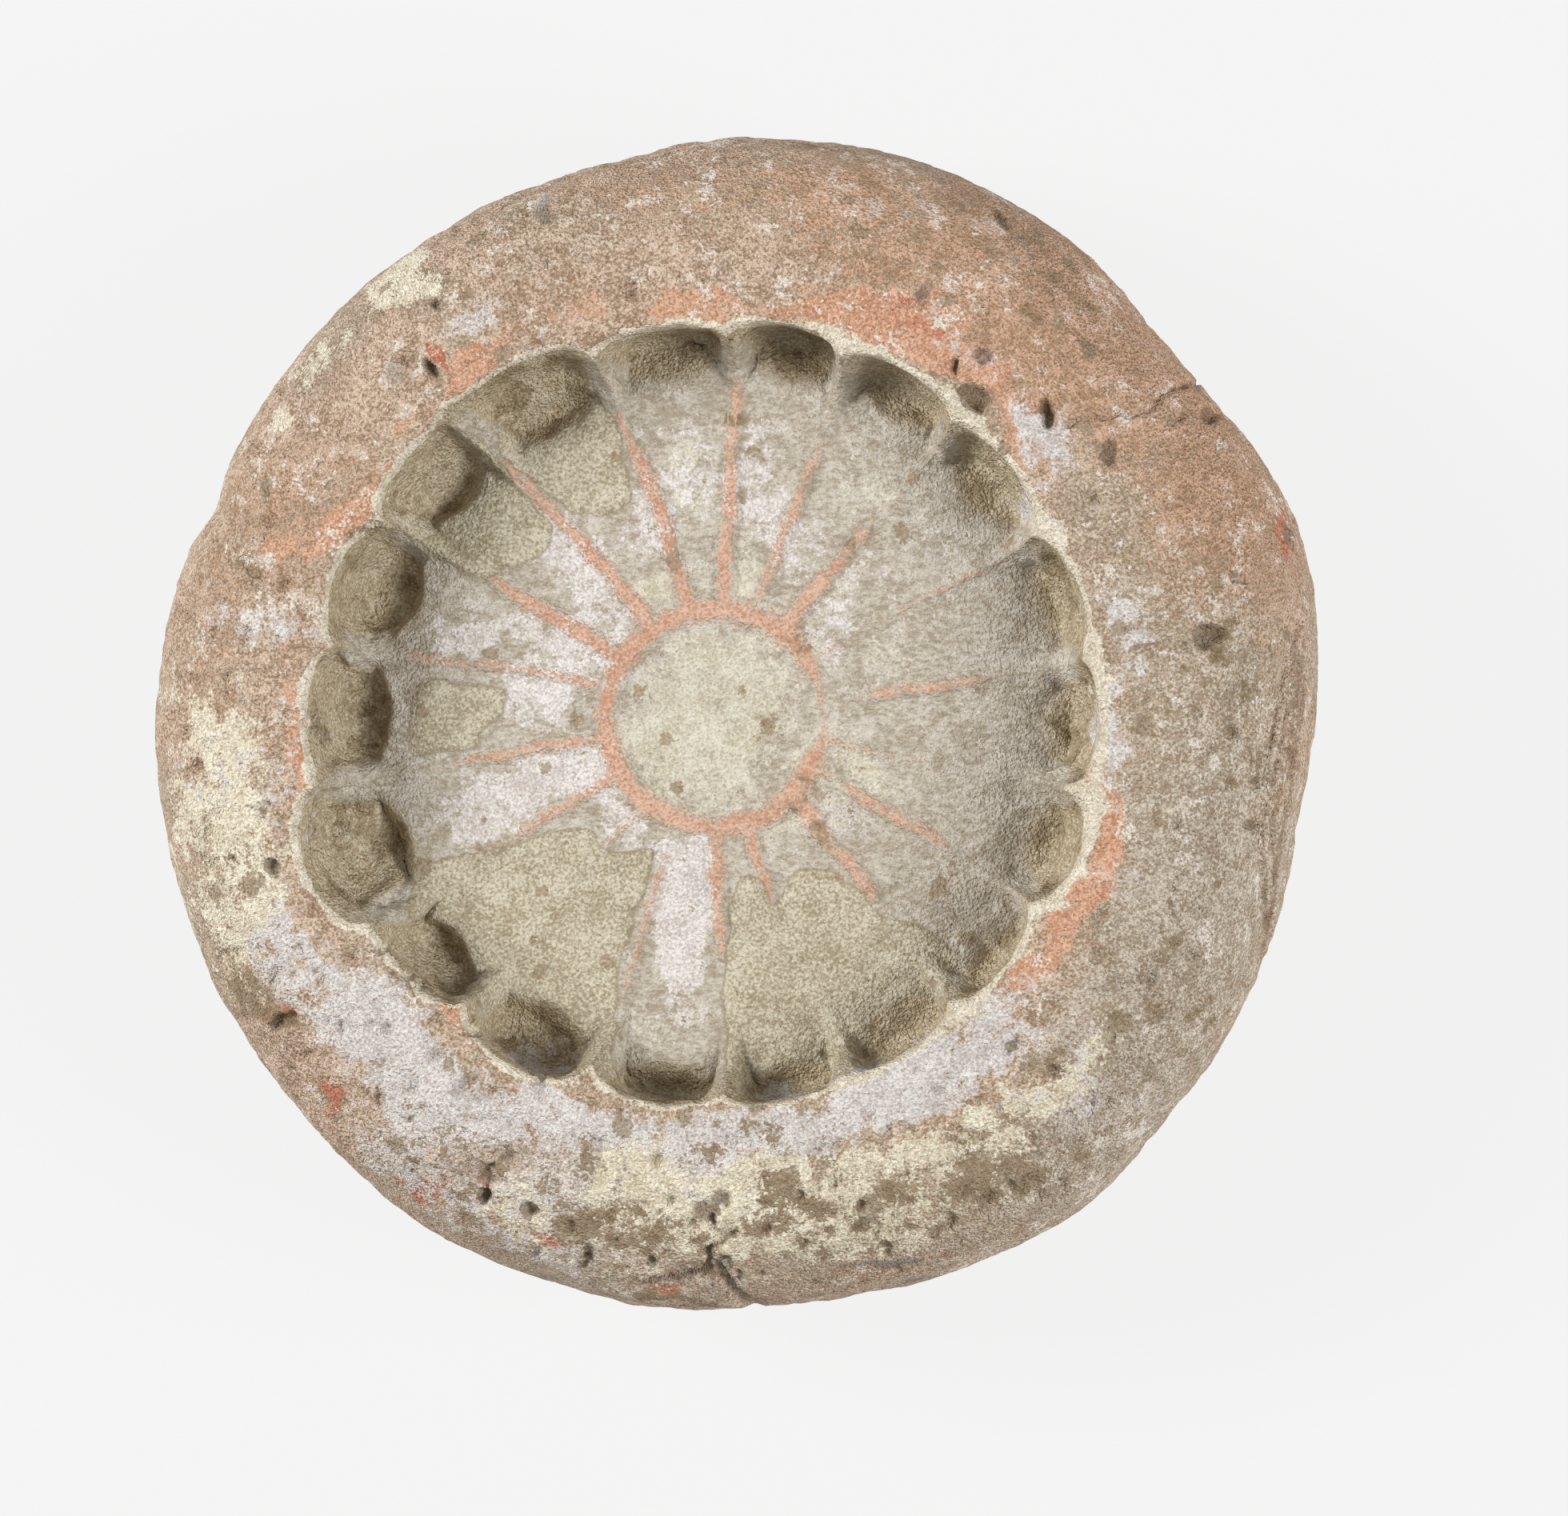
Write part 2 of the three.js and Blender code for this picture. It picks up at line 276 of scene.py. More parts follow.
def section_rows():
    """The mould's section at every column, row by row from the middle of the underside to the middle of the
    cavity: radii, heights, shares of the print's offset, and angles."""
    petal, after, along = petal_columns()
    pocket, dome, start = pocket_shape(petal, along)
    rim_angle = RIDGE[petal] + (RIDGE[after] - RIDGE[petal]) % 360 * along
    twist = ROOT[petal] + (ROOT[after] - ROOT[petal]) % 360 * along - rim_angle
    rim = rim_radius(petal, after, along)
    girth = GIRTH_RADIUS + swell_at(rim_angle)
    floor = HEIGHT - PRINT_DEPTH
    deep = floor - DEEP[petal] * dome * lerp(1, 0.6, smoothstep(STEP[petal], 0.5, 0.9))
    collar = DISC_RADIUS + COLLAR_WIDTH
    rows = []

    def row(radius, height, off=0.0):
        rows.append([np.broadcast_to(value, COLUMNS) for value in (radius, height, off, rim_angle)])

    def stretch(count, radius, height, turned=0.0):
        """Straight on from the last row to this one."""
        last = rows[-1]
        goal = np.broadcast_arrays(radius, height, 1.0, rim_angle + turned * twist)
        for step in range(1, count + 1):
            rows.append([lerp(a, b, step / count) for a, b in zip(last, goal)])

    for step in range(BASE_ROWS):
        row(BASE_RADIUS * step / BASE_ROWS, 0)
    for step in range(UNDER_ROWS):
        turn = math.pi / 2 * (1 - step / UNDER_ROWS)
        across = max(math.cos(turn), 0) ** (2 / UNDER_ROUNDNESS)
        up = 1 - math.sin(turn) ** (2 / UNDER_ROUNDNESS)
        row(lerp(BASE_RADIUS, girth, across), GIRTH_HEIGHT * up)
    for step in range(CROWN_ROWS + 1):
        share = (step / CROWN_ROWS) ** 2.2
        radius = lerp(girth, rim + LIP, share)
        out = np.clip((radius - CROWN_RADIUS) / (girth - CROWN_RADIUS), 0, 1)
        fall = (1 - out**CROWN_ROUNDNESS) ** (1 / CROWN_ROUNDNESS)
        row(radius, lerp(GIRTH_HEIGHT, HEIGHT, fall), share)
    stretch(LIP_ROWS, rim, HEIGHT - LIP * 0.6)

    # From the rim to the floor, each petal's pocket and each ridge's sloping land run into each other.
    foot = rim - RUN[petal]
    land = lerp(LAND[petal], LAND[after], along)
    pocket_wall = (
        (rim - RUN[petal] * 0.35, floor + 1.6), (foot, deep + 0.7), (foot - 0.35, deep + 0.15),
        (np.minimum(start + STEP[petal], foot - 0.5), deep), (start, floor),
    )
    land_wall = (
        (rim - land * 0.3, floor + 3.4), (rim - land * 0.68, floor + 1.5), (rim - land, floor + 0.7),
        (rim - land - 0.9, floor + 0.2), (rim - land - 2.0, floor),
    )
    for count, (radius, height), (land_radius, land_height) in zip(WALL_ROWS, pocket_wall, land_wall):
        stretch(count, lerp(land_radius, radius, pocket), lerp(land_height, height, pocket))
    stretch(PETAL_ROWS, collar + 0.3, floor, turned=1.0)
    stretch(COLLAR_ROWS, DISC_RADIUS, floor, turned=1.0)
    stretch(DISC_ROWS, 0.0, floor, turned=1.0)
    radius, height, off, angle = np.array(rows).transpose(1, 0, 2)
    radius = softened(radius.copy(), along_rows=2, round_columns=2)
    height = softened(height.copy(), along_rows=2, round_columns=2)
    return radius, height, off, np.radians(angle)


def clay_sheet(name, rows):
    """A sheet of clay with this many rows and one more column than the mould has, and each point's row and
    column. The last column stands on the first."""
    bpy.ops.object.select_all(action="DESELECT")
    bpy.ops.mesh.primitive_grid_add(x_subdivisions=COLUMNS, y_subdivisions=rows - 1, size=2)
    sheet = bpy.context.object
    sheet.name = sheet.data.name = name
    places = np.empty(len(sheet.data.vertices) * 3)
    sheet.data.vertices.foreach_get("co", places)
    x, y, _ = places.reshape(-1, 3).T
    row = np.rint((y + 1) / 2 * (rows - 1)).astype(int)
    column = np.rint((x + 1) / 2 * COLUMNS).astype(int) % COLUMNS
    return sheet, row, column


def put_points(piece, points):
    piece.data.vertices.foreach_set("co", (points * MM).ravel())
    piece.data.update()


def points_and_normals(piece):
    """The piece's points, in millimetres, and its normals there."""
    mesh = piece.data
    points = np.empty(len(mesh.vertices) * 3)
    mesh.vertices.foreach_get("co", points)
    normals = np.empty(len(mesh.vertices) * 3)
    mesh.vertex_normals.foreach_get("vector", normals)
    return points.reshape(-1, 3) / MM, normals.reshape(-1, 3)


def cake_axis():
    """Where the cake's axis stands once the middle of its outline is at the origin."""
    angle = np.arange(0, 360, 0.25)
    girth = GIRTH_RADIUS + swell_at(angle)
    outline = girth * np.cos(np.radians(angle)), girth * np.sin(np.radians(angle))
    return [-(line.min() + line.max()) / 2 for line in outline]


PRINT_X, PRINT_Y = (axis + off for axis, off in zip(cake_axis(), PRINT_CENTRE))


def in_plan(points):
    """Each point's place in plan, as looked down on along the line of sight."""
    middle_y = (points[:, 1].min() + points[:, 1].max()) / 2
    across = points[:, 0] * math.cos(LEAN) - points[:, 2] * math.sin(LEAN)
    return across - (across.min() + across.max()) / 2, points[:, 1] - middle_y


def round_print(points):
    """Each point's radius and angle in degrees about the middle of the print."""
    x = points[:, 0] - PRINT_X
    y = points[:, 1] - PRINT_Y
    return np.hypot(x, y), np.degrees(np.arctan2(y, x)) % 360


def ragged(points):
    """How far the edges of pits, cracks and ledges wander at each point."""
    return 0.13 * noise(points, 0.8, 31) + 0.15 * noise(points, 0.4, 32)


def line_distance(u, v, line):
    """How far each place in plan is from a chain of points."""
    nearest = np.full(len(u), 99.0)
    for (u0, v0), (u1, v1) in zip(line, line[1:]):
        share = ((u - u0) * (u1 - u0) + (v - v0) * (v1 - v0)) / ((u1 - u0) ** 2 + (v1 - v0) ** 2)
        share = np.clip(share, 0, 1)
        nearest = np.minimum(nearest, np.hypot(u - lerp(u0, u1, share), v - lerp(v0, v1, share)))
    return nearest


def patch_depth(u, v, corners):
    """How far inside a patch each place in plan is, and less than 0 outside it."""
    closed = corners + corners[:1]
    inside = np.zeros(len(u), dtype=bool)
    for (u0, v0), (u1, v1) in zip(closed, closed[1:]):
        if v0 != v1:
            inside ^= ((v0 > v) != (v1 > v)) & (u < u0 + (v - v0) / (v1 - v0) * (u1 - u0))
    return np.where(inside, 1, -1) * line_distance(u, v, closed)


def oval_reach(u, v, oval):
    """How far out each place is in an oval: 0 in its middle and 1 at its edge."""
    middle_u, middle_v, half_length, half_width, turn = oval[:5]
    turn = math.radians(turn)
    along = (u - middle_u) * math.cos(turn) + (v - middle_v) * math.sin(turn)
    beside = (v - middle_v) * math.cos(turn) - (u - middle_u) * math.sin(turn)
    return np.hypot(along / half_length, beside / half_width)


def crust_depth(points, u, v):
    wander = 0.25 * noise(points, 1.1, 41) + 0.12 * noise(points, 0.5, 42)
    return np.max([patch_depth(u, v, patch) for patch in CRUSTS], axis=0) + wander


def clay_lines(points):
    """How far inside a ridge or the collar each point is, and how far inside what still shows its clay."""
    radius, angle = round_print(points)
    out = smoothstep(radius, DISC_RADIUS + COLLAR_WIDTH, POCKET.mean())
    wander = 0.13 * noise(points, 1.7, 71)
    width = 0.11 * noise(points, 1.3, 72)
    from_collar = np.abs(radius + wander - DISC_RADIUS - COLLAR_WIDTH / 2)
    depth = COLLAR_WIDTH / 2 + width - from_collar
    # Towards +X the collar is worn away.
    shows = depth - 0.4 * (1 - smoothstep(np.abs(turn_between(2, angle)), 12, 26))
    for ridge, root, start, end, strength in zip(RIDGE, ROOT, RIDGE_START, RIDGE_END, RIDGE_STRENGTH):
        line = root + turn_between(root, ridge) * out
        beside = np.abs(np.radians(turn_between(line, angle)) * radius + wander)
        inside = lerp(0.36, 0.2, out) + width - beside
        inside = np.where(radius < DISC_RADIUS, -99, inside)
        here = strength * smoothstep(radius, start - 1.2, start)
        here *= 1 - smoothstep(radius, end - 0.6, end + 0.9)
        depth = np.maximum(depth, inside)
        shows = np.maximum(shows, inside - 0.45 * (1 - here))
    return depth, shows


def small_pits():
    """The many small pits, each as in PITS: those on the shoulder, thickest towards the lower left, and
    shallow ones on the floor of the print."""
    chance = np.random.default_rng(23)
    found = []
    while len(found) < SHOULDER_PITS:
        angle = chance.uniform(0, 2 * math.pi)
        radius = chance.uniform(*SHOULDER_RADII)
        if chance.uniform(0, 1) < 0.45 - 0.55 * math.sin(angle + 0.5):
            size = 0.13 + 0.3 * chance.uniform(0, 1) ** 3
            place = radius * math.cos(angle), radius * math.sin(angle)
            found.append((*place, size * chance.uniform(1, 1.7), size, chance.uniform(0, 180), 0.9 * size))
    for _ in range(FLOOR_PITS):
        angle = chance.uniform(0, 2 * math.pi)
        radius = FLOOR_RADIUS * math.sqrt(chance.uniform(0, 1))
        size = chance.uniform(0.15, 0.38)
        found.append((radius * math.cos(angle), radius * math.sin(angle), size, size, 0, 0.25 * size))
    return found


def pit_depth(u, v, pits):
    """How deep the pits are at each place in plan."""
    deep = np.zeros(len(u))
    for pit in pits:
        widest = 2.5 * pit[2]
        near = np.flatnonzero((np.abs(u - pit[0]) < widest) & (np.abs(v - pit[1]) < widest))
        reach = oval_reach(u[near], v[near], pit)
        deep[near] = np.maximum(deep[near], pit[5] * (1 - smoothstep(reach, 0.6, 1.1)))
    return deep


def past_ledge(along, across, ledge, reach):
    """How deep the hollow past a ledge is, from 0 to 1, at each place along it and across it."""
    places = np.array(ledge)
    past = across - np.interp(along, *places.T)
    here = smoothstep(along, places[0, 0] - 0.3, places[0, 0] + 1.2)
    here *= 1 - smoothstep(along, places[-1, 0] - 1.2, places[-1, 0] + 0.3)
    return here * smoothstep(past, -0.04, 0.06) * (1 - smoothstep(past, 0.1, reach))


def standing_out(points, up):
    """How far the surface stands out from the smooth shape, where up is how much each point is seen."""
    u, v = in_plan(points)
    wander = ragged(points)
    radius, _ = round_print(points)
    inside = (1 - smoothstep(radius, POCKET.min() - 1, POCKET.max())) * up
    walls = smoothstep(radius, POCKET.min() - 1, POCKET.max()) * (1 - smoothstep(radius, 19.6, 21.6)) * up
    lumps = 0.17 * noise(points, 9, 1) + 0.1 * noise(points, 4, 2)
    fine = 0.08 * noise(points, 1.7, 3) + 0.06 * noise(points, 0.8, 4) + 0.04 * noise(points, 0.42, 5)
    out = lumps * (1 - 0.7 * inside) + fine * (1 - 0.55 * inside)
    out += walls * (0.12 * noise(points, 1.3, 6) + 0.07 * noise(points, 0.6, 7))
    holes = PIT_SHARE * pit_depth(u + wander, v - wander, PITS) + pit_depth(u, v, small_pits())
    out -= holes * up
    holes_below = smoothstep(noise(points, 1.5, 51), 0.62, 0.9) * 0.25 * (1 - up)
    out -= holes_below
    crack = line_distance(u + wander, v - wander, CRACK)
    low_crack = line_distance(u + wander, v, LOW_CRACK)
    out -= CRACK_DEPTH * (1 - smoothstep(crack, 0.05, 0.2)) * up
    out -= LOW_CRACK_DEPTH * (1 - smoothstep(low_crack, 0.08, 0.25)) * up
    out -= LOW_LEDGE_DEPTH * past_ledge(u, 0.5 * wander - v, LOW_LEDGE, 1.1) * up
    for ledge in FLANK_LEDGES:
        out -= FLANK_LEDGE_DEPTH * past_ledge(v, u + 0.3 * wander, ledge, FLANK_LEDGE_REACH) * up
    lines, shows = clay_lines(points)
    out += RIDGE_RISE * smoothstep(lines, -0.3, 0.12) * inside
    out += BARE_RISE * smoothstep(shows, -0.3, 0.12) * inside
    out += CRUST_THICKNESS * smoothstep(crust_depth(points, u, v), -0.05, 0.13) * inside
    return out


def make_mould():
    """The mould, in place: a sheet wrapped round its section, closed, worn along its normals and thinned."""
    radius, height, off, angle = section_rows()
    piece, row, column = clay_sheet("fired_clay_mould", len(radius))
    radius, height, off, angle = (grid[row, column] for grid in (radius, height, off, angle))
    axis_x, axis_y = cake_axis()
    x = axis_x + PRINT_CENTRE[0] * off + radius * np.cos(angle)
    y = axis_y + PRINT_CENTRE[1] * off + radius * np.sin(angle)
    put_points(piece, np.stack([x, y, height], axis=1))
    # The sheet's last column meets its first, and its first and last rows each draw in to one point.
    close = piece.modifiers.new("close", "WELD")
    close.merge_threshold = 1e-8
    bpy.ops.object.modifier_apply(modifier=close.name)
    points, normals = points_and_normals(piece)
    put_points(piece, points + normals * standing_out(points, seen(normals))[:, None])
    thin = piece.modifiers.new("thin", "DECIMATE")
    triangles = sum(len(face.vertices) - 2 for face in piece.data.polygons)
    thin.ratio = MOST_TRIANGLES / triangles
    bpy.ops.object.modifier_apply(modifier=thin.name)
    points, _ = points_and_normals(piece)
    points[:, 2] -= points[:, 2].min()
    points[:, 2] += BOX_LOW.z
    put_points(piece, points)
    bpy.ops.object.shade_smooth()
    return piece


def seen(normals):
    """How much each point faces up the line of sight."""
    return smoothstep(normals[:, 0] * math.sin(LEAN) + normals[:, 2] * math.cos(LEAN), -0.25, 0.0)


# Where each colour lies, as soft ovals in plan: middle, half length, half width, turn in degrees, strength.
COLOURS = {
    # warm terracotta, on the upper right shoulder
    "terracotta": (
        (17.9, 21, 9, 6.5, -40, 0.85), (24.5, 13, 7.5, 4.5, -65, 0.75), (8.3, 26, 7, 4, -15, 0.6),
        (0, 28, 12, 2.2, 0, 0.5), (-22.5, 11.5, 5, 3.5, 40, 0.45), (27.5, 7, 2.5, 4, 0, 0.3),
        (-27, 4, 1.5, 6, 0, 0.35),
    ),
    # grey bloom, on the lower right shoulder
    "bloom": (
        (24.2, 0.2, 5, 9, 0, 0.6), (23.3, -10.2, 5.5, 9, -20, 0.85), (19.2, -18.5, 7, 6, 40, 0.6),
        (14, -25, 9, 3.5, 20, 0.5), (-9.2, 25.2, 7, 3.2, 15, 0.4), (-4, -27, 12, 3.5, 0, 0.55),
        (20.8, 7.8, 1.6, 3.5, 10, 0.35),
    ),
    # pinkish red clay, worn bare
    "pink": (
        (9.6, 20.2, 5.8, 2.0, -27, 1.0), (-0.7, 21.5, 8, 1.1, 4, 0.62), (15, 15.2, 4.6, 1.6, -48, 0.62),
        (-19.6, 11.2, 3.4, 1.3, 32, 0.85), (-23.2, 8.6, 2.5, 1.2, 25, 0.5),
        (-22.6, -1.4, 1.2, 4.8, 3, 0.85), (-23.4, 3.4, 0.8, 2, 0, 0.55), (18.9, -5.0, 4.4, 1.2, 86, 0.95),
        (17.6, -9.8, 2.8, 1.1, 62, 0.8), (15.6, -13, 2.4, 1.1, 46, 0.75),
        (-13.5, -15.2, 3, 0.9, -35, 0.5), (-8.5, 21.2, 2.4, 0.9, 20, 0.45), (16.3, 10, 1.0, 2.6, 0, 0.35),
        (-14.2, 18.4, 6.5, 0.7, 38, 0.62), (17.2, 8, 0.8, 3, 10, 0.3),
        (-18.5, -13.3, 1.2, 0.6, -30, 0.35),
    ),
    # deep rust red, in small stains
    "rust": (
        (-15.8, -24, 1.8, 0.7, 0, 0.7), (-12.9, -23.5, 0.9, 0.7, 0, 0.62),
        (-23.7, -15.2, 1.4, 0.7, 20, 0.65), (-25.8, -12.9, 0.9, 0.5, 60, 0.55),
        (-10, -26.9, 1.8, 0.5, -20, 0.6), (28.5, 9.8, 1.0, 0.4, 100, 1.0),
        (-3.0, -29.2, 2.6, 0.7, 0, 0.55), (9.2, 20.8, 3.4, 1.0, -25, 0.42),
        (-21, -19.6, 1.5, 0.5, -50, 0.5), (-15.9, 18.5, 0.9, 0.4, -45, 0.8),
    ),
    # brown soil, in the pores
    "soil": (
        (13.8, -22.3, 6, 2.6, 12, 0.45), (3.3, -24.2, 3.5, 1.0, 0, 0.65), (-9.2, -24.5, 7, 3, -10, 0.4),
        (8, -25.5, 9, 2.4, 12, 0.42), (-3, -26.5, 8, 1.6, 0, 0.4), (-15, -21.5, 5, 2.4, -30, 0.25),
        (22, -14.4, 5, 5, 40, 0.38), (24, -3, 4, 9, 0, 0.28), (15.4, -17.4, 2.6, 1.6, 30, 0.42),
        (-3.0, -29.4, 2.6, 0.8, 0, 0.5), (-24.2, -15, 3, 3, 0, 0.4), (-2, -21.8, 12, 1.5, 0, 0.25),
        (-10, 23.5, 8, 4, 15, 0.25), (14, 24, 8, 4, -35, 0.3), (-26, -9, 2.5, 7, 0, 0.28),
        (12.3, 17.2, 1.3, 1.1, 0, 0.7), (-23, 3.5, 0.7, 0.8, 0, 0.6), (2.2, 0, 1.6, 0.7, 55, 0.5),
        (-0.2, 14.8, 0.6, 0.3, 0, 0.9), (9, -6, 8, 5, -20, 0.25), (24.4, 4.4, 1.0, 0.8, 0, 0.7),
    ),
    # yellowish cream slip
    "cream": (
        (-27, -1.5, 2.8, 5.5, 0, 0.55), (-26.2, -8, 3.2, 6, 0, 0.66), (-24.5, -10.5, 2, 3, 20, 0.5),
        (-3.8, -22.9, 5.5, 1.3, 0, 0.75), (0.4, -24, 5, 1.6, 0, 0.62), (12.9, -20.6, 4.4, 2, 20, 0.62),
        (17.5, -18, 3.5, 1.8, 38, 0.7), (-17.5, 23.0, 2.1, 1.5, 32, 1.0), (-24, 15.8, 0.7, 0.6, 0, 0.95),
        (-21.7, 18.5, 2.4, 0.9, 42, 0.55), (3.3, -26.7, 7, 1.6, 0, 0.48), (-11.2, -24.8, 3, 1.5, 0, 0.4),
        (-5, -26, 11, 3.2, 0, 0.5), (0, -24, 12, 3.0, 0, 0.5), (9, -24, 9, 3.5, 15, 0.4),
        (-1.3, 0.4, 5.6, 5.6, 0, 0.75), (0.8, 7.9, 1.8, 1.3, 0, 0.7), (-2.6, 13.4, 1.0, 0.45, 0, 1.0),
        (-1.6, 11.8, 1.1, 0.25, 70, 0.9), (5.4, -2.4, 2.8, 2.2, 0, 0.62), (3.6, -5.5, 2.2, 1.2, 0, 0.6),
        (-4.6, 6.4, 1.2, 1.0, 0, 0.5), (6.3, 12, 1.6, 1.4, 0, 0.5), (8, 4, 3, 2.4, 30, 0.4),
        (-10.2, 9.6, 1.6, 0.5, 60, 0.8), (-21, -7, 1.2, 6, 0, 0.2),
    ),
    # white salt, as grains
    "salt": (
        (-24.6, 5.2, 3.4, 1.9, 0, 0.6), (-18.3, -16, 7, 2.8, -40, 0.82),
        (-9.2, -20.0, 5.5, 2.2, -18, 0.75), (-13, -22.5, 9, 4.5, -35, 0.55), (0, -25, 16, 3.6, 0, 0.35),
        (16, -20, 7, 4, 40, 0.35), (-2, -21.3, 5.5, 1.5, 0, 0.7), (3.8, -21, 4.5, 1.8, 10, 0.72),
        (9.8, -17.9, 5.4, 2.2, 32, 0.95), (14.2, -15.6, 2.6, 1.8, 50, 0.62),
        (15.9, 10.6, 2.1, 1.3, -55, 0.72), (20, 4, 1.3, 4.4, 0, 0.62), (19.7, -0.6, 1.0, 3, 0, 0.55),
        (-13.3, 21, 3, 1.5, 30, 0.5), (-23.7, -11.9, 2.2, 3.2, 0, 0.55), (5.6, 19.4, 2.6, 1.0, -12, 0.45),
        (13, 18.4, 5, 2, -35, 0.36), (16.5, 13.8, 4, 1.6, -55, 0.42), (-9.2, 20.2, 2.5, 0.8, 20, 0.3),
        (-21.7, 11.4, 2, 1.4, 0, 0.35), (8.8, 26.5, 3.5, 1.0, -15, 0.35),
        (14.6, 24.4, 2.5, 1.0, -30, 0.35), (-27, -2, 2, 6, 0, 0.3), (-23.2, -2.5, 2.2, 6, 0, 0.4),
        (20, -17, 8, 6, 40, 0.2), (16.5, 15, 3, 1.2, -50, 0.35), (22, -8, 5, 9, -10, 0.25),
        (-8.5, 8.5, 4.6, 2.6, 128, 0.78), (-9.2, 3, 4.2, 3.2, 0, 0.75), (-15, 4.6, 3.2, 2.2, 0, 0.5),
        (-8.3, -2.3, 3.6, 1.7, 0, 0.85), (-12.5, -4, 4.4, 1.9, 10, 0.6), (-2.5, 13, 3.2, 2.8, 0, 0.45),
        (-4.2, 10.2, 2.2, 3, 15, 0.6), (1.2, 12, 2.0, 4.2, 0, 0.6), (3.4, 8.5, 1.6, 2.4, -20, 0.6),
        (-2.6, -10.2, 2.1, 5.0, 0, 0.95), (-3, -6.2, 2.2, 1.1, 0, 0.9), (5.8, -5.2, 3, 2, 0, 0.45),
        (5.4, 4.8, 1.6, 1.6, 0, 0.5), (8, 8, 4, 3, 40, 0.35), (-6, -4.5, 3, 1.0, -40, 0.7),
    ),
    # dark grey stains
    "smudge": (
        (6.0, -28.1, 1.0, 0.35, -20, 1.0), (8.1, -28.1, 1.4, 0.4, -5, 1.0), (-9, 26.5, 1.1, 0.7, 0, 0.6),
        (-10.4, 23.2, 0.8, 0.6, 0, 0.55), (-17.8, 17.4, 0.8, 0.6, 0, 0.35),
        (-13.2, -18.4, 1.2, 0.8, 0, 0.5), (9.6, 22, 0.8, 0.7, 0, 0.65), (-17, -23, 1.4, 0.7, 0, 0.45),
        (16, 2, 0.6, 0.8, 0, 0.5),
    ),
}


def cover(u, v, ovals):
    """How thickly a colour lies at each place in plan."""
    bare = np.ones(len(u))
    for oval in ovals:
        bare *= 1 - oval[5] * (1 - smoothstep(oval_reach(u, v, oval), 0.35, 1.35))
    return 1 - bare


def surface_fields(piece):
    """What the finish needs to know at each point of the mould, by name, with distances in millimetres."""
    points, normals = points_and_normals(piece)
    up = seen(normals)
    u, v = in_plan(points)
    radius, angle = round_print(points)
    petal = np.searchsorted(RIDGE, angle) - 1
    after = (petal + 1) % len(PETALS)
    along = np.clip((angle - RIDGE[petal]) % 360 / ((RIDGE[after] - RIDGE[petal]) % 360), 0, 1)
    rim = rim_radius(petal, after, along)
    pocket, _, start = pocket_shape(petal, along)
    start = lerp(rim - 0.6, start, pocket)
    into_print = np.where(radius > rim, rim - radius, np.maximum(rim - radius, HEIGHT - points[:, 2]))
    lines, shows = clay_lines(points)
    wandering_u = u + 1.0 * noise(points, 3.2, 61) + 0.4 * noise(points, 1.2, 62)
    wandering_v = v + 1.0 * noise(points, 3.2, 63) + 0.4 * noise(points, 1.2, 64)
    # On the right the pockets are shallow, and the floor's finish runs on into them.
    right = smoothstep(np.cos(np.radians(angle + 5)), 0.7, 0.9)
    on_floor = 1 - smoothstep(radius - start - 1.2 * right * pocket, -0.6, 0.6)
    wander = ragged(points)
    # The pale line round the rim, partly worn clay and partly a painted highlight along the edge, is widest
    # at the cusps on the right.
    to_cusp = 1 - np.sin(np.pi * along)
    border_width = 0.25 + 0.8 * smoothstep(np.cos(np.radians(angle - 10)), 0.0, 0.6) * to_cusp
    border_width *= 1 + 0.5 * noise(points, 1.6, 81) + 0.3 * noise(points, 0.7, 82)
    from_border = np.abs(into_print + border_width / 3) / border_width
    fields = {
        "into_print": into_print * up - 3 * (1 - up),
        "rim_wear_and_highlight": 0.85 * (1 - smoothstep(from_border, 0.5, 1.5)) * up,
        "floor": on_floor * up,
        "ridge": shows * on_floor - 0.5 * (1 - on_floor),
        "crust": np.where(on_floor * up > 0.3, crust_depth(points, u, v), -1),
        # Where the pits are darkened: soil in them, and painted shade.
        "pits": pit_depth(u + wander, v - wander, PITS) * up,
    }
    for name, ovals in COLOURS.items():
        fields[name] = cover(wandering_u, wandering_v, ovals) * up
    # Where a brown painted shadow goes, in the hollows past the ledges.
    ledge_shadow = [past_ledge(v, u + 0.3 * wander, ledge, FLANK_LEDGE_REACH) for ledge in FLANK_LEDGES]
    ledge_shadow.append(past_ledge(u, 0.5 * wander - v, LOW_LEDGE, 0.7))
    fields["ledge_shadow"] = np.max(ledge_shadow, axis=0) * up
    return fields


def store(piece, fields):
    for name, values in fields.items():
        held = piece.data.attributes.new(name, "FLOAT", "POINT")
        held.data.foreach_set("value", values.astype(np.float32))


def linear(colour):
    """A linear colour from an sRGB one such as "#c0a080"."""
    channels = [int(colour[i:i + 2], 16) / 255 for i in (1, 3, 5)]
    return [c / 12.92 if c <= 0.04045 else ((c + 0.055) / 1.055) ** 2.4 for c in channels] + [1.0]


